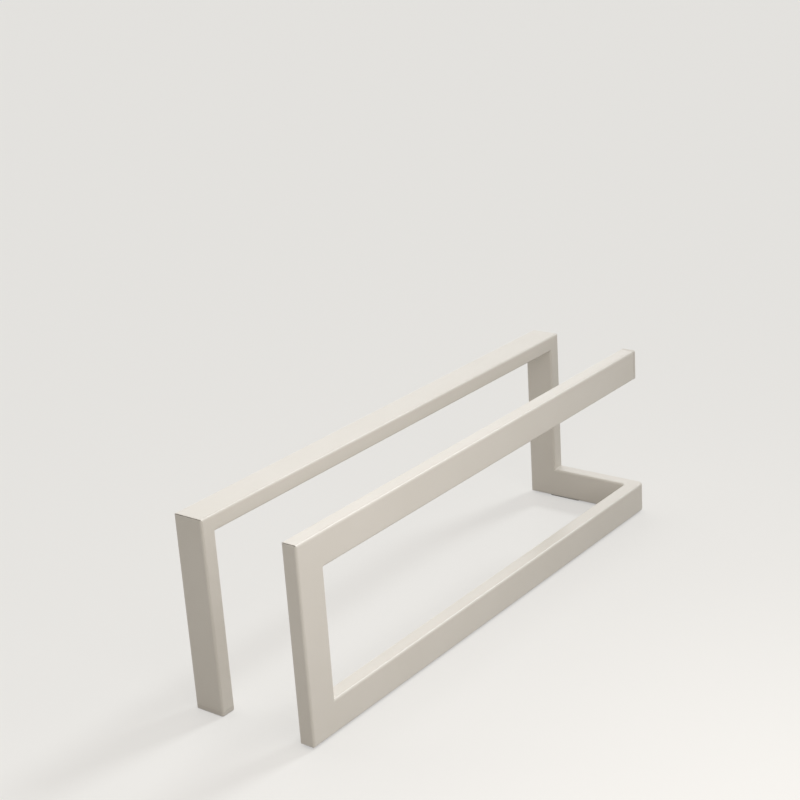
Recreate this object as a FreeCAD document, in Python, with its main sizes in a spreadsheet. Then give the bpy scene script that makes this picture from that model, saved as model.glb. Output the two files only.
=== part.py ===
import FreeCAD, Part
import math
import os

import Sketcher

# Low shoe rack folded and welded from one size of flat steel tube.
# The tube runs as one continuous line: front top rail, front left post, base rail with a folded
# corner, rear right post, rear top rail and rear left leg. Plugs close its two open ends.
# The origin is on the floor under the middle of the rack. X runs left to right, Y front to rear, Z up.

# Driving dimensions in millimetres, apart from the count
SIZES = {
    "overall_width": 355.0,
    "overall_depth": 85.0,
    "front_height": 118.0,
    "rear_height": 118.0,
    "top_rail_length": 346.0,
    "tube_width": 20.0,
    "tube_thickness": 10.0,
    "tube_wall": 1.2,
    "tube_corner_radius": 1.5,
    "weld_dressing_radius": 1.2,
    "fold_outer_radius": 4.0,
    "fold_inner_radius": 1.5,
    "plug_head": 3.0,
    "plug_edge_radius": 1.0,
    "plug_insert_length": 14.0,
    "plug_insert_wall": 1.2,
    "plug_fin_height": 0.6,
    "plug_fin_thickness": 1.2,
    "plug_fin_pitch": 4.0,
    "plug_fin_count": 3,
    "plug_clearance": 0.1,
    "pad_thickness": 1.0,
    "pad_width": 6.0,
    "pad_length": 24.0,
    "pad_corner_radius": 2.0,
    "pad_edge_radius": 0.3,
    "pad_setback": 14.0,
}

WORLD_X = FreeCAD.Vector(1, 0, 0)
WORLD_Y = FreeCAD.Vector(0, 1, 0)
WORLD_Z = FreeCAD.Vector(0, 0, 1)
MITRE_ANGLE = math.radians(45)
POINT_TOLERANCE = 1e-6

# Sketcher's numbers for the points of an edge and for the sketch's own origin
START, END, CENTRE = 1, 2, 3
ORIGIN = (-1, 1)


class Size:
    """A length that knows its value and how to write itself as an expression on the sheet."""

    def __init__(self, value, text):
        self.value = value
        self.text = text

    def __add__(self, other):
        return Size(self.value + other.value, f"({self.text} + {other.text})")

    def __sub__(self, other):
        return Size(self.value - other.value, f"({self.text} - {other.text})")

    def __mul__(self, factor):
        return Size(self.value * factor, f"({self.text} * {factor})")

    def __truediv__(self, divisor):
        return Size(self.value / divisor, f"({self.text} / {divisor})")

    def __neg__(self):
        return Size(-self.value, f"(-{self.text})")


# The document and its sheet of sizes
doc = FreeCAD.newDocument("shoe_rack")
sheet = doc.addObject("Spreadsheet::Sheet", "sizes")
size = {}
for row, (alias, value) in enumerate(SIZES.items(), start=1):
    sheet.set(f"A{row}", alias)
    sheet.set(f"B{row}", str(value))
    sheet.setAlias(f"B{row}", alias)
    size[alias] = Size(value, f"sizes.{alias}")
doc.recompute()

ZERO = Size(0.0, "0")
wide = size["tube_width"]
thick = size["tube_thickness"]
wall = size["tube_wall"]
left = -size["overall_width"] / 2
right = size["overall_width"] / 2
front = -size["overall_depth"] / 2
rear = size["overall_depth"] / 2
bore_wide = wide - wall * 2
bore_thick = thick - wall * 2


def new_body(label, place, x_axis, y_axis):
    """A body at a place in the rack, turned so that its own X and Y point the given ways."""
    body = doc.addObject("PartDesign::Body", label)
    body.Label = label
    turn = FreeCAD.Rotation(x_axis, y_axis, x_axis.cross(y_axis), "XYZ")
    body.Placement = FreeCAD.Placement(FreeCAD.Vector(), turn)
    for axis, distance in zip("xyz", place):
        body.setExpression(f".Placement.Base.{axis}", distance.text)
    return body


def new_sketch(body, name, role, height=ZERO):
    """A sketch on one of the body's own origin planes, or at a height above it."""
    plane = next(item for item in body.Origin.OriginFeatures if item.Role == role)
    sketch = body.newObject("Sketcher::SketchObject", f"{body.Label}_{name}")
    sketch.AttachmentSupport = [(plane, "")]
    sketch.MapMode = "FlatFace"
    sketch.setExpression(".AttachmentOffset.Base.z", height.text)
    return sketch


def bind(sketch, kind, *terms):
    """Add a dimension whose last term is a Size, and tie it to the sheet."""
    *places, length = terms
    index = sketch.addConstraint(Sketcher.Constraint(kind, *places, length.value))
    sketch.setExpression(f"Constraints[{index}]", length.text)


def draw_outline(sketch, corners):
    """A closed outline of level and upright edges through corners of (x, y, radius or None)."""
    count = len(corners)
    points = [FreeCAD.Vector(x.value, y.value, 0) for x, y, radius in corners]
    ends = []
    for index, (x, y, radius) in enumerate(corners):
        back = (points[index - 1] - points[index]).normalize()
        ahead = (points[(index + 1) % count] - points[index]).normalize()
        reach = radius.value if radius else 0.0
        ends.append((points[index] + back * reach, points[index] + ahead * reach, back + ahead))
    lines = []
    for index in range(count):
        following = (index + 1) % count
        lines.append(sketch.addGeometry(Part.LineSegment(ends[index][1], ends[following][0])))
        upright = corners[index][0].text == corners[following][0].text
        sketch.addConstraint(Sketcher.Constraint("Vertical" if upright else "Horizontal", lines[-1]))
        if upright:
            bind(sketch, "DistanceX", *ORIGIN, lines[-1], START, corners[index][0])
        else:
            bind(sketch, "DistanceY", *ORIGIN, lines[-1], START, corners[index][1])
    for index, (x, y, radius) in enumerate(corners):
        before, after = lines[index - 1], lines[index]
        if radius is None:
            sketch.addConstraint(Sketcher.Constraint("Coincident", before, END, after, START))
            continue
        inset, outset, inward = ends[index]
        centre = points[index] + inward * radius.value
        middle = centre - inward.normalize() * radius.value
        arc = sketch.addGeometry(Part.Arc(inset, middle, outset))
        clockwise = sketch.getPoint(arc, START).distanceToPoint(inset) > POINT_TOLERANCE
        first, last = (END, START) if clockwise else (START, END)
        sketch.addConstraint(Sketcher.Constraint("Tangent", before, END, arc, first))
        sketch.addConstraint(Sketcher.Constraint("Tangent", arc, last, after, START))
        bind(sketch, "Radius", arc, radius)


def draw_rectangle(sketch, width, height, radius=None):
    """A rectangle about the sketch's origin, with round corners if a radius is given."""
    half_width, half_height = width / 2, height / 2
    draw_outline(sketch, [
        (-half_width, -half_height, radius),
        (half_width, -half_height, radius),
        (half_width, half_height, radius),
        (-half_width, half_height, radius),
    ])


def pad(body, sketch, length, symmetric=False):
    """Raise a sketch into the body."""
    feature = body.newObject("PartDesign::Pad", f"{sketch.Name}_pad")
    feature.Profile = sketch
    feature.SideType = "Symmetric" if symmetric else "One side"
    feature.setExpression("Length", length.text)
    doc.recompute()
    return feature


def pocket(body, sketch, length=None):
    """Cut a sketch out of the body both ways, right through unless a whole length is given."""
    feature = body.newObject("PartDesign::Pocket", f"{sketch.Name}_pocket")
    feature.Profile = sketch
    feature.SideType = "Symmetric"
    if length is None:
        feature.Type = "ThroughAll"
    else:
        feature.setExpression("Length", length.text)
    doc.recompute()


def fillet(body, base, radius, picked):
    """Round the edges of a feature that a test on the edge picks."""
    names = [f"Edge{number}" for number, edge in enumerate(base.Shape.Edges, start=1) if picked(edge)]
    feature = body.newObject("PartDesign::Fillet", f"{base.Name}_fillet")
    feature.Base = (base, names)
    feature.setExpression("Radius", radius.text)
    doc.recompute()


def cut_mitre(body, name, role, across, length, far_end):
    """Cut one end of a tube at 45 degrees, its long side on the sketch's +X.

    The weld is dressed to a radius, so half of that round corner lies on each of the two tubes.
    """
    sketch = new_sketch(body, name, role)
    sign = 1 if far_end else -1
    half, radius, past = across / 2, size["weld_dressing_radius"], wall
    tip = length if far_end else ZERO
    centre_x, centre_y = half - radius, tip - radius * sign
    low_x, low_y = -half - past, tip - (across + past) * sign
    high_x, high_y = half + past, tip + past * sign
    reach = radius.value * math.cos(MITRE_ANGLE)
    on_mitre = FreeCAD.Vector(centre_x.value + reach, centre_y.value + reach * sign, 0)
    on_side = FreeCAD.Vector(half.value, centre_y.value, 0)
    corners = [
        on_mitre,
        FreeCAD.Vector(low_x.value, low_y.value, 0),
        FreeCAD.Vector(low_x.value, high_y.value, 0),
        FreeCAD.Vector(high_x.value, high_y.value, 0),
        FreeCAD.Vector(high_x.value, centre_y.value, 0),
        on_side,
    ]
    lines = [sketch.addGeometry(Part.LineSegment(a, b)) for a, b in zip(corners, corners[1:])]
    slope, inner_side, end_side, outer_side, shelf = lines
    circle = Part.Circle(FreeCAD.Vector(centre_x.value, centre_y.value, 0), WORLD_Z, radius.value)
    sweep = (0.0, MITRE_ANGLE) if far_end else (-MITRE_ANGLE, 0.0)
    arc = sketch.addGeometry(Part.ArcOfCircle(circle, *sweep))
    side_point, mitre_point = (START, END) if far_end else (END, START)
    for line, following in zip(lines, lines[1:]):
        sketch.addConstraint(Sketcher.Constraint("Coincident", line, END, following, START))
    sketch.addConstraint(Sketcher.Constraint("Coincident", shelf, END, arc, side_point))
    sketch.addConstraint(Sketcher.Constraint("Coincident", arc, mitre_point, slope, START))
    for line in (inner_side, outer_side):
        sketch.addConstraint(Sketcher.Constraint("Vertical", line))
    for line in (end_side, shelf):
        sketch.addConstraint(Sketcher.Constraint("Horizontal", line))
    sketch.addConstraint(Sketcher.Constraint("Horizontal", arc, CENTRE, arc, side_point))
    sketch.addConstraint(Sketcher.Constraint("PointOnObject", arc, CENTRE, slope))
    bind(sketch, "Radius", arc, radius)
    bind(sketch, "DistanceX", *ORIGIN, arc, CENTRE, centre_x)
    bind(sketch, "DistanceY", *ORIGIN, arc, CENTRE, centre_y)
    bind(sketch, "DistanceX", *ORIGIN, slope, END, low_x)
    bind(sketch, "DistanceY", *ORIGIN, slope, END, low_y)
    bind(sketch, "DistanceX", *ORIGIN, outer_side, START, high_x)
    bind(sketch, "DistanceY", *ORIGIN, outer_side, START, high_y)
    pocket(body, sketch)


# The plane and the side of the tube that each kind of mitre slopes across
MITRES = {
    "edgewise": ("XZ_Plane", wide),
    "flatwise": ("YZ_Plane", thick),
}


def make_tube(label, place, wide_axis, thin_axis, length, start=None, end=None):
    """A straight hollow tube along its body's Z, with a mitre at either end."""
    body = new_body(label, place, wide_axis, thin_axis)
    section = new_sketch(body, "section", "XY_Plane")
    draw_rectangle(section, wide, thick, size["tube_corner_radius"])
    draw_rectangle(section, bore_wide, bore_thick)
    pad(body, section, length)
    for name, kind, far_end in (("start", start, False), ("end", end, True)):
        if kind:
            role, across = MITRES[kind]
            cut_mitre(body, name, role, across, length, far_end)
    return body


def make_base_rail():
    """The floor tube: a front run, a folded corner and a right run, each end mitred to a post."""
    body = new_body("base_rail", (left, front, size["pad_thickness"] + wide / 2), -WORLD_Z, WORLD_Y)
    long_run, side_run = size["overall_width"], size["overall_depth"]
    plan = new_sketch(body, "plan", "YZ_Plane")
    draw_outline(plan, [
        (ZERO, ZERO, None),
        (ZERO, long_run, size["fold_outer_radius"]),
        (side_run, long_run, None),
        (side_run, long_run - thick, None),
        (thick, long_run - thick, size["fold_inner_radius"]),
        (thick, ZERO, None),
    ])
    blank = pad(body, plan, wide, symmetric=True)

    def runs_along_the_rail(edge):
        """True for edges of the top and bottom faces, apart from those across the tube's ends."""
        box = edge.BoundBox
        on_flat = box.XLength < POINT_TOLERANCE
        at_left_end = box.ZMax < POINT_TOLERANCE
        at_rear_end = box.YMin > side_run.value - POINT_TOLERANCE
        return on_flat and not at_left_end and not at_rear_end

    fillet(body, blank, size["tube_corner_radius"], runs_along_the_rail)
    bore = new_sketch(body, "bore", "YZ_Plane")
    draw_outline(bore, [
        (wall, -wall, None),
        (wall, long_run - wall, size["fold_outer_radius"] - wall),
        (side_run + wall, long_run - wall, None),
        (side_run + wall, long_run - thick + wall, None),
        (thick - wall, long_run - thick + wall, size["fold_inner_radius"] + wall),
        (thick - wall, -wall, None),
    ])
    pocket(body, bore, bore_wide)
    cut_mitre(body, "left_mitre", "XZ_Plane", wide, long_run, far_end=False)
    cut_mitre(body, "rear_mitre", "XY_Plane", wide, side_run, far_end=True)
    return body


def lies_on_the_outside(edge):
    """True for edges in a body's own XY plane, which is the outer face of a plug or a pad."""
    return edge.BoundBox.ZMax < POINT_TOLERANCE


def make_plug(label, place, wide_axis, thin_axis):
    """A moulded plug: a head that covers the tube's end, and a hollow insert with gripping fins."""
    body = new_body(label, place, wide_axis, thin_axis)
    head, slack = size["plug_head"], size["plug_clearance"]
    fin_wide, fin_thick = bore_wide - slack * 2, bore_thick - slack * 2
    core_wide = fin_wide - size["plug_fin_height"] * 2
    core_thick = fin_thick - size["plug_fin_height"] * 2
    face = new_sketch(body, "face", "XY_Plane")
    draw_rectangle(face, wide, thick, size["tube_corner_radius"])
    fillet(body, pad(body, face, head), size["plug_edge_radius"], lies_on_the_outside)
    core = new_sketch(body, "core", "XY_Plane", head)
    draw_rectangle(core, core_wide, core_thick)
    pad(body, core, size["plug_insert_length"])
    fin = new_sketch(body, "fin", "XY_Plane", head + size["plug_fin_pitch"] / 2)
    draw_rectangle(fin, fin_wide, fin_thick)
    first_fin = pad(body, fin, size["plug_fin_thickness"])
    fins = body.newObject("PartDesign::LinearPattern", f"{label}_fins")
    fins.Originals = [first_fin]
    fins.Direction = (fin, ["N_Axis"])
    fins.Mode = "Spacing"
    fins.setExpression("Offset", size["plug_fin_pitch"].text)
    fins.setExpression("Occurrences", size["plug_fin_count"].text)
    body.Tip = fins
    doc.recompute()
    both_walls = size["plug_insert_wall"] * 2
    hollow = new_sketch(body, "hollow", "XY_Plane", head + size["plug_insert_length"])
    draw_rectangle(hollow, core_wide - both_walls, core_thick - both_walls)
    pocket(body, hollow, size["plug_insert_length"] * 2)
    return body


def make_pad(label, place, long_axis, short_axis):
    """A thin floor pad bonded under the base rail, its lower edge eased."""
    body = new_body(label, place, long_axis, short_axis)
    shape = new_sketch(body, "shape", "XY_Plane")
    draw_rectangle(shape, size["pad_length"], size["pad_width"], size["pad_corner_radius"])
    slab = pad(body, shape, size["pad_thickness"])
    fillet(body, slab, size["pad_edge_radius"], lies_on_the_outside)
    return body


def check(bodies):
    """Stop if any feature failed, a pocket cut nothing or a piece isn't one sound solid."""
    for item in doc.Objects:
        if "Invalid" in item.State or "Error" in item.State:
            raise RuntimeError(f"{item.Name} failed: {item.State}")
        if item.isDerivedFrom("PartDesign::Pocket"):
            if item.Shape.Volume >= item.BaseFeature.Shape.Volume:
                raise RuntimeError(f"{item.Name} cut nothing")
    for body in bodies:
        shape = body.Shape
        if shape.isNull() or not shape.isValid() or len(shape.Solids) != 1:
            raise RuntimeError(f"{body.Label} isn't one sound solid")


mid_front = front + thick / 2
mid_rear = rear - wide / 2
pad_reach = size["pad_setback"] + size["pad_length"] / 2
pieces = [
    make_tube(
        "front_top_rail", (left, mid_front, size["front_height"] - wide / 2), WORLD_Z, -WORLD_Y,
        size["top_rail_length"] - size["plug_head"], start="edgewise"),
    make_tube(
        "front_left_post", (left + wide / 2, mid_front, size["pad_thickness"]), -WORLD_X, -WORLD_Y,
        size["front_height"] - size["pad_thickness"], start="edgewise", end="edgewise"),
    make_base_rail(),
    make_tube(
        "rear_right_post", (right - thick / 2, mid_rear, size["rear_height"]), WORLD_Y, WORLD_X,
        size["rear_height"] - size["pad_thickness"], start="flatwise", end="edgewise"),
    make_tube(
        "rear_top_rail", (left, mid_rear, size["rear_height"] - thick / 2), WORLD_Y, WORLD_Z,
        size["overall_width"], start="flatwise", end="flatwise"),
    make_tube(
        "rear_left_leg", (left + thick / 2, mid_rear, size["rear_height"]), -WORLD_Y, -WORLD_X,
        size["rear_height"] - size["plug_head"], start="flatwise"),
    make_plug(
        "top_rail_end_cap", (left + size["top_rail_length"], mid_front, size["front_height"] - wide / 2),
        WORLD_Z, WORLD_Y),
    make_plug("leg_foot_plug", (left + thick / 2, mid_rear, ZERO), WORLD_Y, -WORLD_X),
    make_pad("front_left_pad", (left + pad_reach, mid_front, ZERO), WORLD_X, WORLD_Y),
    make_pad("front_right_pad", (right - pad_reach, mid_front, ZERO), WORLD_X, WORLD_Y),
    make_pad("rear_right_pad", (right - thick / 2, rear - pad_reach, ZERO), WORLD_Y, -WORLD_X),
]
doc.recompute()
check(pieces)

os.makedirs("parts", exist_ok=True)
for piece in pieces:
    piece.Shape.exportStep(f"parts/{piece.Label}.step")
    print(f"{piece.Label}: {piece.Shape.Volume:.1f} cubic mm")
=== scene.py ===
import math

import bmesh
import bpy
from mathutils import Matrix, Vector


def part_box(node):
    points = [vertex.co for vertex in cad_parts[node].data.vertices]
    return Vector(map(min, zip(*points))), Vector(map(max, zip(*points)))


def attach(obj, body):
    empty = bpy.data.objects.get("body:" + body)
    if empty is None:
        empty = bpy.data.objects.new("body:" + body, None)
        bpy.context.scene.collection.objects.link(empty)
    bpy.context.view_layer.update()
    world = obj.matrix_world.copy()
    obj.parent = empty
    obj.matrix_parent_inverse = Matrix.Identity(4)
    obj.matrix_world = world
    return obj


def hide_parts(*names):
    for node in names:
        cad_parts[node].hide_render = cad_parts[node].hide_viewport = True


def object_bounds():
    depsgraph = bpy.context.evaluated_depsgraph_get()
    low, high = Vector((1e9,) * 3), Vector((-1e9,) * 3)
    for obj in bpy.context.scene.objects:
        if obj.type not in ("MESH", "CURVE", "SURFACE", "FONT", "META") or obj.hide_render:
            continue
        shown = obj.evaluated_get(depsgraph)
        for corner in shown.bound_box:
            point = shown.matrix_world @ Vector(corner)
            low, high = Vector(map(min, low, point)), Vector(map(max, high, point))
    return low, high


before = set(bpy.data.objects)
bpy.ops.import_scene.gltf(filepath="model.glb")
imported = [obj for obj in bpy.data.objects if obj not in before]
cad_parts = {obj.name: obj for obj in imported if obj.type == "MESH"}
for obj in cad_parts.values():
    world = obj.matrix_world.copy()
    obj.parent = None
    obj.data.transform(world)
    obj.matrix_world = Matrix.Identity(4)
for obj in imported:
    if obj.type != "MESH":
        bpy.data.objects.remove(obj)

# Low shoe rack of welded flat steel tube with a warm white powder coat, on a pale floor.
# Lengths are in metres. X runs left to right, Y front to rear, Z up.

cad_low, cad_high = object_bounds()
MM = 0.001
ORIGIN = Vector((0, 0, 0))
X_AXIS = Vector((1, 0, 0))
Y_AXIS = Vector((0, 1, 0))
Z_AXIS = Vector((0, 0, 1))
QUARTER_TURN = math.radians(90)

# Places and sizes of the tube, from the frame
left, front, floor_level = cad_low
right, rear, rear_top = cad_high
rail_low, rail_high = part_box("front_top_rail")
front_top = rail_high.z
rail_end = rail_high.x
base_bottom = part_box("base_rail")[0].z
leg_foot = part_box("rear_left_leg")[0].z
TUBE_WIDE = rail_high.z - rail_low.z
TUBE_THICK = rail_high.y - rail_low.y

# Outer corners where two tubes meet in a mitre, as they are before they are dressed
front_upper_corner = Vector((left, front, front_top))
front_lower_corner = Vector((left, front, base_bottom))
rear_lower_corner = Vector((right, rear, base_bottom))
rear_right_corner = Vector((right, rear, rear_top))
rear_left_corner = Vector((left, rear, rear_top))

# Shapes that the boxes of the frame don't give
TUBE_WALL = 1.2 * MM
TUBE_EDGE_RADIUS = 1.5 * MM
TUBE_EDGE_SEGMENTS = 6
WELD_RADIUS = 1.2 * MM
WELD_FACETS = 3
SEAM_DEPTH = 0.16 * MM
FOLD_OUTER_RADIUS = 4 * MM
FOLD_OUTER_SEGMENTS = 12
FOLD_INNER_RADIUS = 1.5 * MM
FOLD_INNER_SEGMENTS = 5
MOUTH_EASE = 0.2 * MM
MOUTH_SEGMENTS = 2
MOUTH_DEPTH = 20 * MM
ROUND_PROFILE = 0.5
SMOOTH_ANGLE = math.radians(30)

# How close a place, a cut and the cosine of a direction come to the one that is meant
PLACE_TOLERANCE = 0.01 * MM
CUT_TOLERANCE = 0.0001 * MM
SAME_WAY = 0.99

# The frame's own shapes that stay and only get a finish
PLUGS = ("top_rail_end_cap", "leg_foot_plug")
PADS = ("front_left_pad", "front_right_pad", "rear_right_pad")

# Finishes: two tones that drift into each other, a range of roughness, and sizes of the detail
COAT_PALE = (0.80, 0.765, 0.712)
COAT_DEEP = (0.775, 0.74, 0.683)
COAT_DRIFT_SIZE = 45 * MM
COAT_DRIFT_DETAIL = 3.0
COAT_ROUGHNESS = (0.29, 0.36)
COAT_ROUGHNESS_SIZE = 4 * MM
COAT_SWELL_SIZE = 6 * MM
COAT_SWELL_DETAIL = 1.0
COAT_SWELL_DEPTH = 0.02 * MM
COAT_PEEL_SIZE = 0.9 * MM
COAT_PEEL_DEPTH = 0.012 * MM
# The seam's dark tone is painted shade in the groove, with dust; the pale tone is where the coat
# fills it.
SEAM_SHADE_AND_DUST = (0.15, 0.14, 0.12)
SEAM_FILLED = (0.66, 0.62, 0.55)
SEAM_DRIFT_SIZE = 4 * MM
SEAM_ROUGHNESS = 0.8
PLUG_PALE = (0.765, 0.728, 0.68)
PLUG_DEEP = (0.735, 0.70, 0.65)
PLUG_DRIFT_SIZE = 9 * MM
PLUG_ROUGHNESS = (0.5, 0.62)
PLUG_ROUGHNESS_SIZE = 0.6 * MM
PLUG_GRAIN_SIZE = 0.35 * MM
PLUG_GRAIN_DEPTH = 0.012 * MM
PAD_PALE = (0.32, 0.31, 0.30)
PAD_DEEP = (0.27, 0.26, 0.25)
PAD_DRIFT_SIZE = 5 * MM
PAD_ROUGHNESS = (0.72, 0.85)
PAD_ROUGHNESS_SIZE = 1 * MM
PAD_GRAIN_SIZE = 0.5 * MM
PAD_GRAIN_DEPTH = 0.03 * MM
NOISE_DETAIL = 2.0
NOISE_LOW = 0.3
NOISE_HIGH = 0.7


# Materials

def new_material(name):
    """A new material, its node tree and its Principled shader."""
    material = bpy.data.materials.new(name)
    material.use_nodes = True
    tree = material.node_tree
    return material, tree, tree.nodes["Principled BSDF"]


def noise(tree, size, detail=NOISE_DETAIL):
    """A noise over the piece whose features are about the given size."""
    coordinates = tree.nodes.new("ShaderNodeTexCoord")
    texture = tree.nodes.new("ShaderNodeTexNoise")
    texture.inputs["Scale"].default_value = 1 / size
    texture.inputs["Detail"].default_value = detail
    tree.links.new(coordinates.outputs["Object"], texture.inputs["Vector"])
    return texture.outputs["Fac"]


def spread(tree, value, low, high):
    """Map the middle of a noise, where most of its values lie, onto a range."""
    mapped = tree.nodes.new("ShaderNodeMapRange")
    mapped.inputs["From Min"].default_value = NOISE_LOW
    mapped.inputs["From Max"].default_value = NOISE_HIGH
    mapped.inputs["To Min"].default_value = low
    mapped.inputs["To Max"].default_value = high
    tree.links.new(value, mapped.inputs["Value"])
    return mapped.outputs["Result"]


def vary_tone(tree, shader, first, second, size, detail=NOISE_DETAIL):
    """Let the base colour drift between two tones, in patches of about the given size."""
    mix = tree.nodes.new("ShaderNodeMix")
    mix.data_type = "RGBA"
    mix.inputs["A"].default_value = (*first, 1)
    mix.inputs["B"].default_value = (*second, 1)
    tree.links.new(spread(tree, noise(tree, size, detail), 0.0, 1.0), mix.inputs["Factor"])
    tree.links.new(mix.outputs["Result"], shader.inputs["Base Color"])


def vary_roughness(tree, shader, limits, size):
    """Let the roughness vary between its limits, in patches of about the given size."""
    tree.links.new(spread(tree, noise(tree, size), *limits), shader.inputs["Roughness"])


def raise_surface(tree, height, depth, under=None):
    """A bump of the given depth, on top of another bump if there is one."""
    bump = tree.nodes.new("ShaderNodeBump")
    bump.inputs["Distance"].default_value = depth
    tree.links.new(height, bump.inputs["Height"])
    if under:
        tree.links.new(under, bump.inputs["Normal"])
    return bump.outputs["Normal"]


def powder_coat():
    """Satin warm white powder coat: a faint orange peel, and a tone that drifts a little."""
    material, tree, shader = new_material("powder_coat")
    vary_tone(tree, shader, COAT_PALE, COAT_DEEP, COAT_DRIFT_SIZE, COAT_DRIFT_DETAIL)
    vary_roughness(tree, shader, COAT_ROUGHNESS, COAT_ROUGHNESS_SIZE)
    swell_height = noise(tree, COAT_SWELL_SIZE, COAT_SWELL_DETAIL)
    swell = raise_surface(tree, swell_height, COAT_SWELL_DEPTH)
    peel = raise_surface(tree, noise(tree, COAT_PEEL_SIZE), COAT_PEEL_DEPTH, under=swell)
    tree.links.new(peel, shader.inputs["Normal"])
    return material


def open_seam():
    """The thin line between two mitred tubes: the coat fills parts of it, and the rest is painted
    dark as shade in the groove, with dust.
    """
    material, tree, shader = new_material("open_seam")
    vary_tone(tree, shader, SEAM_SHADE_AND_DUST, SEAM_FILLED, SEAM_DRIFT_SIZE)
    shader.inputs["Roughness"].default_value = SEAM_ROUGHNESS
    return material


def plug_plastic():
    """Matt moulded plastic, a little greyer than the coat, with a spark-eroded grain."""
    material, tree, shader = new_material("plug_plastic")
    vary_tone(tree, shader, PLUG_PALE, PLUG_DEEP, PLUG_DRIFT_SIZE)
    vary_roughness(tree, shader, PLUG_ROUGHNESS, PLUG_ROUGHNESS_SIZE)
    grain = raise_surface(tree, noise(tree, PLUG_GRAIN_SIZE), PLUG_GRAIN_DEPTH)
    tree.links.new(grain, shader.inputs["Normal"])
    return material


def pad_rubber():
    """Matt dark rubber with a fine grain."""
    material, tree, shader = new_material("pad_rubber")
    vary_tone(tree, shader, PAD_PALE, PAD_DEEP, PAD_DRIFT_SIZE)
    vary_roughness(tree, shader, PAD_ROUGHNESS, PAD_ROUGHNESS_SIZE)
    grain = raise_surface(tree, noise(tree, PAD_GRAIN_SIZE), PAD_GRAIN_DEPTH)
    tree.links.new(grain, shader.inputs["Normal"])
    return material


coat = powder_coat()
seam = open_seam()
plastic = plug_plastic()
rubber = pad_rubber()


# Modelling steps, which act on the piece that is open in edit mode

def add_block(name, low, high):
    """A block between two corners, with the coat and the seam as materials, left in edit mode."""
    bpy.ops.object.select_all(action="DESELECT")
    bpy.ops.mesh.primitive_cube_add(size=1, location=(low + high) / 2)
    block = bpy.context.object
    block.name = block.data.name = name
    block.scale = high - low
    bpy.ops.object.transform_apply(location=True, rotation=True, scale=True)
    for material in (coat, seam):
        block.data.materials.append(material)
    bpy.ops.object.mode_set(mode="EDIT")
    return block


def pick(piece, kind, wanted):
    """Select only the edges or faces that pass a test, where kind is EDGE or FACE."""
    bpy.ops.mesh.select_mode(type=kind)
    bpy.ops.mesh.select_all(action="DESELECT")
    mesh = bmesh.from_edit_mesh(piece.data)
    for item in mesh.edges if kind == "EDGE" else mesh.faces:
        if wanted(item):
            item.select_set(True)
    bmesh.update_edit_mesh(piece.data)


def points(face, way):
    """Whether a face points in a way."""
    return face.normal.dot(way) > SAME_WAY


def runs(edge, way):
    """Whether an edge runs along a way, forwards or backwards."""
    along = (edge.verts[1].co - edge.verts[0].co).normalized()
    return abs(along.dot(way)) > SAME_WAY


def middle(edge):
    """The middle of an edge."""
    return (edge.verts[0].co + edge.verts[1].co) / 2


def near(a, b):
    """Whether two places on an axis are the same."""
    return abs(a - b) < PLACE_TOLERANCE


def round_picked_edges(radius, segments):
    """Round the edges that are selected."""
    bpy.ops.mesh.bevel(
        offset=radius, segments=segments, profile=ROUND_PROFILE, affect="EDGES", clamp_overlap=False)


def draw_out_picked_faces(move):
    """Extrude the faces that are selected."""
    bpy.ops.mesh.extrude_region_move(TRANSFORM_OT_translate={"value": move})


def cut_away(point, outward):
    """Cut off what lies beyond a plane and close the cut, which is left selected."""
    bpy.ops.mesh.select_mode(type="FACE")
    bpy.ops.mesh.select_all(action="SELECT")
    bpy.ops.mesh.bisect(
        plane_co=point, plane_no=outward, clear_outer=True, use_fill=True, threshold=CUT_TOLERANCE)


def mitre(piece, corner, side, end):
    """Cut a tube at 45 degrees through an outer corner, dress it round and leave a fine seam.

    Side is the way that the tube's outer face points at the corner, and end is the way that the
    tube runs into it. Each of the two tubes carries half of the dressed round.
    """
    cut_away(corner, end - side)
    centre = corner - (side + end) * WELD_RADIUS
    for step in range(1, WELD_FACETS + 1):
        angle = QUARTER_TURN * step / (2 * WELD_FACETS + 1)
        tangent = side * math.cos(angle) + end * math.sin(angle)
        cut_away(centre + tangent * WELD_RADIUS, tangent)
    seam_line = centre + (side + end).normalized() * WELD_RADIUS
    cut_away(seam_line - end * SEAM_DEPTH, end)
    # The seam's facet takes the seam finish, whose dark tone is painted shade in the groove, with
    # dust.
    piece.active_material_index = list(piece.data.materials).index(seam)
    bpy.ops.object.material_slot_assign()


def open_mouth(piece, end):
    """Ease the rim of a tube's free end and hollow the end to the tube's wall."""
    pick(piece, "FACE", lambda face: points(face, end))
    bpy.ops.mesh.region_to_loop()
    round_picked_edges(MOUTH_EASE, MOUTH_SEGMENTS)
    pick(piece, "FACE", lambda face: points(face, end))
    bpy.ops.mesh.inset(thickness=TUBE_WALL - MOUTH_EASE)
    draw_out_picked_faces(-end * MOUTH_DEPTH)


def straight_tube(name, low, high, way):
    """A straight length of tube with its four long edges rounded, left in edit mode."""
    tube = add_block(name, Vector(low), Vector(high))
    pick(tube, "EDGE", lambda edge: runs(edge, way))
    round_picked_edges(TUBE_EDGE_RADIUS, TUBE_EDGE_SEGMENTS)
    return tube


def finish_tube(piece, node):
    """Close a tube's modelling, smooth its rounded edges and let it stand for its node."""
    bpy.ops.mesh.select_all(action="SELECT")
    bpy.ops.mesh.normals_make_consistent(inside=False)
    bpy.ops.object.mode_set(mode="OBJECT")
    bpy.ops.object.shade_smooth_by_angle(angle=SMOOTH_ANGLE)
    piece.modifiers.new("level_faces", "WEIGHTED_NORMAL").keep_sharp = True
    bpy.ops.object.modifier_apply(modifier="level_faces")
    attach(piece, "root")
    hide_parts(node)


# The tubes, in the order of the line from the free end of the top rail to the foot of the leg

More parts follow.
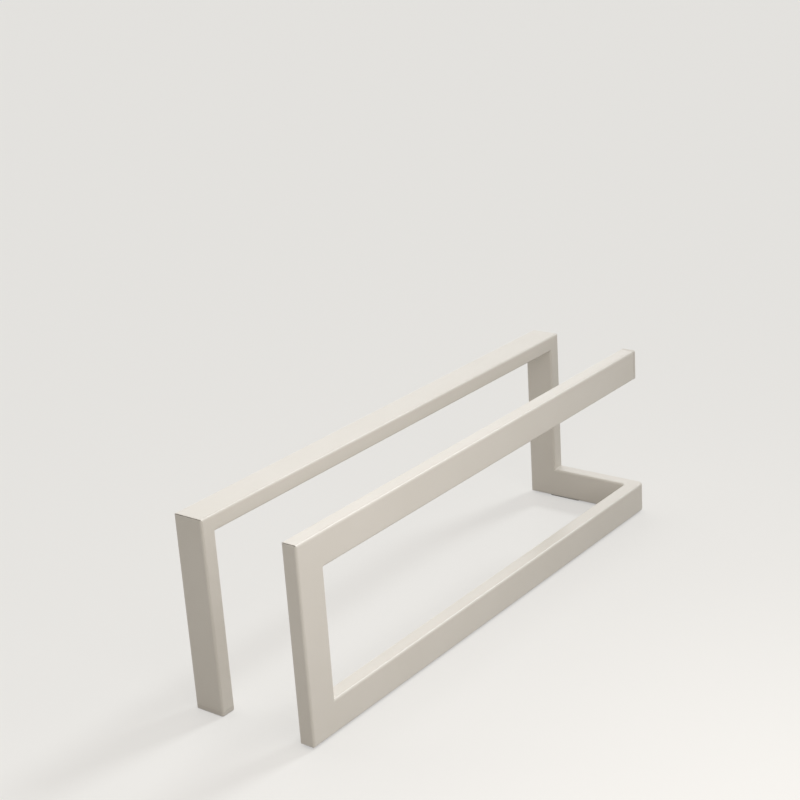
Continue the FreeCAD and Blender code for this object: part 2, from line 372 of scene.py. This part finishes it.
def front_top_rail():
    """The rail on edge at the front top, open at its right end."""
    low = (left, front, front_top - TUBE_WIDE)
    high = (rail_end, front + TUBE_THICK, front_top)
    tube = straight_tube("front_top_rail_tube", low, high, X_AXIS)
    mitre(tube, front_upper_corner, Z_AXIS, -X_AXIS)
    open_mouth(tube, X_AXIS)
    finish_tube(tube, "front_top_rail")


def front_left_post():
    """The upright between the top rail and the base rail."""
    low = (left, front, base_bottom)
    high = (left + TUBE_WIDE, front + TUBE_THICK, front_top)
    tube = straight_tube("front_left_post_tube", low, high, Z_AXIS)
    mitre(tube, front_upper_corner, -X_AXIS, Z_AXIS)
    mitre(tube, front_lower_corner, -X_AXIS, -Z_AXIS)
    finish_tube(tube, "front_left_post")


def base_rail():
    """The floor tube: a front run, a corner folded round and a right run to the rear."""
    fold_x = right - TUBE_THICK
    fold_y = front + TUBE_THICK
    low = Vector((left, front, base_bottom))
    high = Vector((fold_x, fold_y, base_bottom + TUBE_WIDE))
    tube = add_block("base_rail_tube", low, high)
    pick(tube, "FACE", lambda face: points(face, X_AXIS))
    draw_out_picked_faces(X_AXIS * TUBE_THICK)
    pick(tube, "FACE", lambda face: points(face, Y_AXIS) and face.calc_center_median().x > fold_x)
    draw_out_picked_faces(Y_AXIS * (rear - fold_y))
    bpy.ops.mesh.select_all(action="SELECT")
    bpy.ops.mesh.dissolve_limited()

    def upright_at(x, y):
        return lambda edge: near(middle(edge).x, x) and near(middle(edge).y, y)

    def along_the_tube(edge):
        at_an_end = near(middle(edge).x, left) or near(middle(edge).y, rear)
        return not runs(edge, Z_AXIS) and not at_an_end

    pick(tube, "EDGE", upright_at(right, front))
    round_picked_edges(FOLD_OUTER_RADIUS, FOLD_OUTER_SEGMENTS)
    pick(tube, "EDGE", upright_at(fold_x, fold_y))
    round_picked_edges(FOLD_INNER_RADIUS, FOLD_INNER_SEGMENTS)
    pick(tube, "EDGE", along_the_tube)
    round_picked_edges(TUBE_EDGE_RADIUS, TUBE_EDGE_SEGMENTS)
    mitre(tube, front_lower_corner, -Z_AXIS, -X_AXIS)
    mitre(tube, rear_lower_corner, -Z_AXIS, Y_AXIS)
    finish_tube(tube, "base_rail")


def rear_right_post():
    """The upright between the base rail's rear end and the rear rail."""
    low = (right - TUBE_THICK, rear - TUBE_WIDE, base_bottom)
    high = (right, rear, rear_top)
    tube = straight_tube("rear_right_post_tube", low, high, Z_AXIS)
    mitre(tube, rear_lower_corner, Y_AXIS, -Z_AXIS)
    mitre(tube, rear_right_corner, X_AXIS, Z_AXIS)
    finish_tube(tube, "rear_right_post")


def rear_top_rail():
    """The rail that lies flat along the rear top."""
    low = (left, rear - TUBE_WIDE, rear_top - TUBE_THICK)
    high = (right, rear, rear_top)
    tube = straight_tube("rear_top_rail_tube", low, high, X_AXIS)
    mitre(tube, rear_right_corner, Z_AXIS, X_AXIS)
    mitre(tube, rear_left_corner, Z_AXIS, -X_AXIS)
    finish_tube(tube, "rear_top_rail")


def rear_left_leg():
    """The upright under the left end of the rear rail, open at its foot."""
    low = (left, rear - TUBE_WIDE, leg_foot)
    high = (left + TUBE_THICK, rear, rear_top)
    tube = straight_tube("rear_left_leg_tube", low, high, Z_AXIS)
    mitre(tube, rear_left_corner, -X_AXIS, Z_AXIS)
    open_mouth(tube, -Z_AXIS)
    finish_tube(tube, "rear_left_leg")


def finish_nodes(nodes, material):
    """Give some of the frame's own shapes their finish."""
    for node in nodes:
        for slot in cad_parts[node].material_slots:
            slot.material = material


front_top_rail()
front_left_post()
base_rail()
rear_right_post()
rear_top_rail()
rear_left_leg()
finish_nodes(PLUGS, plastic)
finish_nodes(PADS, rubber)


# Stage: a pale floor and backdrop, soft light and the camera

BACKDROP_COLOUR = (0.745, 0.738, 0.72, 1)
SURROUND_COLOUR = (0.40, 0.378, 0.345, 1)
FLOOR_SIDE = 60
FLOOR_COLOUR = (0.42, 0.408, 0.384, 1)
FLOOR_GLOW_COLOUR = (1, 1, 1, 1)
FLOOR_GLOW = 0.46
KEY_FROM = Vector((0.70, -0.16, 0.69))
KEY_STRENGTH = 1.0
KEY_SOFTNESS = math.radians(13)
KEY_COLOUR = (0.9, 0.96, 1.0)
FILL_PLACE = Vector((-0.15, -0.27, 0.27))
FILL_AIM = Vector((left / 2, front, front_top / 2))
FILL_POWER = 0.60
FILL_SIZE = 0.45
FILL_COLOUR = (1.0, 0.965, 0.94)
BACK_FROM = Vector((0.3, 0.9, 0.3))
BACK_STRENGTH = 1.2
BACK_SOFTNESS = math.radians(90)
CAMERA_PLACE = Vector((-0.732813, -0.550138, 0.460311))
CAMERA_HEADING = math.radians(51.918)
CAMERA_TILT = math.radians(19.697)
CAMERA_ROLL = math.radians(-3.847)
CAMERA_LENS = 73.936
CAMERA_SENSOR = 36


def seen_directly(tree):
    """1 for what the camera sees, straight or in a gloss or a glass, and 0 for other light."""
    path = tree.nodes.new("ShaderNodeLightPath")
    total = path.outputs["Is Camera Ray"]
    for name in ("Is Glossy Ray", "Is Transmission Ray"):
        largest = tree.nodes.new("ShaderNodeMath")
        largest.operation = "MAXIMUM"
        tree.links.new(total, largest.inputs[0])
        tree.links.new(path.outputs[name], largest.inputs[1])
        total = largest.outputs["Value"]
    return total


def set_world():
    """Even light from all round, with a plain pale backdrop behind the rack."""
    world = bpy.data.worlds.new("studio")
    bpy.context.scene.world = world
    world.use_nodes = True
    tree = world.node_tree
    background = tree.nodes["Background"]
    colour = tree.nodes.new("ShaderNodeMix")
    colour.data_type = "RGBA"
    colour.inputs["A"].default_value = SURROUND_COLOUR
    colour.inputs["B"].default_value = BACKDROP_COLOUR
    tree.links.new(seen_directly(tree), colour.inputs["Factor"])
    tree.links.new(colour.outputs["Result"], background.inputs["Color"])


def set_floor():
    """A wide pale floor that keeps the rack's shadow and far away looks like the backdrop."""
    bpy.ops.object.select_all(action="DESELECT")
    bpy.ops.mesh.primitive_plane_add(size=FLOOR_SIDE, location=(0, 0, floor_level))
    floor = bpy.context.object
    floor.name = "floor"
    material, tree, shader = new_material("pale_floor")
    tree.nodes.remove(shader)
    matt = tree.nodes.new("ShaderNodeBsdfDiffuse")
    matt.inputs["Color"].default_value = FLOOR_COLOUR
    glow = tree.nodes.new("ShaderNodeEmission")
    glow.inputs["Color"].default_value = FLOOR_GLOW_COLOUR
    strength = tree.nodes.new("ShaderNodeMath")
    strength.operation = "MULTIPLY"
    strength.inputs[1].default_value = FLOOR_GLOW
    both = tree.nodes.new("ShaderNodeAddShader")
    tree.links.new(seen_directly(tree), strength.inputs[0])
    tree.links.new(strength.outputs["Value"], glow.inputs["Strength"])
    tree.links.new(matt.outputs["BSDF"], both.inputs[0])
    tree.links.new(glow.outputs["Emission"], both.inputs[1])
    tree.links.new(both.outputs["Shader"], tree.nodes["Material Output"].inputs["Surface"])
    floor.data.materials.append(material)


def add_lamp(name, kind, place, aim):
    """A lamp at a place, turned to an aim. For a SUN only the direction counts."""
    lamp = bpy.data.objects.new(name, bpy.data.lights.new(name, kind))
    bpy.context.scene.collection.objects.link(lamp)
    lamp.location = place
    lamp.rotation_euler = (aim - place).to_track_quat("-Z", "Y").to_euler()
    return lamp.data


def set_lamps():
    """A cool key from the right, a warm fill from the front left and a broad light from the rear."""
    key = add_lamp("key", "SUN", KEY_FROM, ORIGIN)
    key.energy = KEY_STRENGTH
    key.angle = KEY_SOFTNESS
    key.color = KEY_COLOUR
    fill = add_lamp("fill", "AREA", FILL_PLACE, FILL_AIM)
    fill.energy = FILL_POWER
    fill.size = FILL_SIZE
    fill.color = FILL_COLOUR
    back = add_lamp("back", "SUN", BACK_FROM, ORIGIN)
    back.energy = BACK_STRENGTH
    back.angle = BACK_SOFTNESS


def set_camera():
    """The camera where the photo was taken from."""
    camera = bpy.data.objects.new("camera", bpy.data.cameras.new("camera"))
    bpy.context.scene.collection.objects.link(camera)
    bpy.context.scene.camera = camera
    camera.data.lens = CAMERA_LENS
    camera.data.sensor_width = CAMERA_SENSOR
    heading = Matrix.Rotation(-CAMERA_HEADING, 4, "Z")
    tilt = Matrix.Rotation(QUARTER_TURN - CAMERA_TILT, 4, "X")
    roll = Matrix.Rotation(CAMERA_ROLL, 4, "Z")
    camera.matrix_world = Matrix.Translation(CAMERA_PLACE) @ heading @ tilt @ roll


set_world()
set_floor()
set_lamps()
set_camera()
bpy.context.scene.view_settings.view_transform = "Standard"
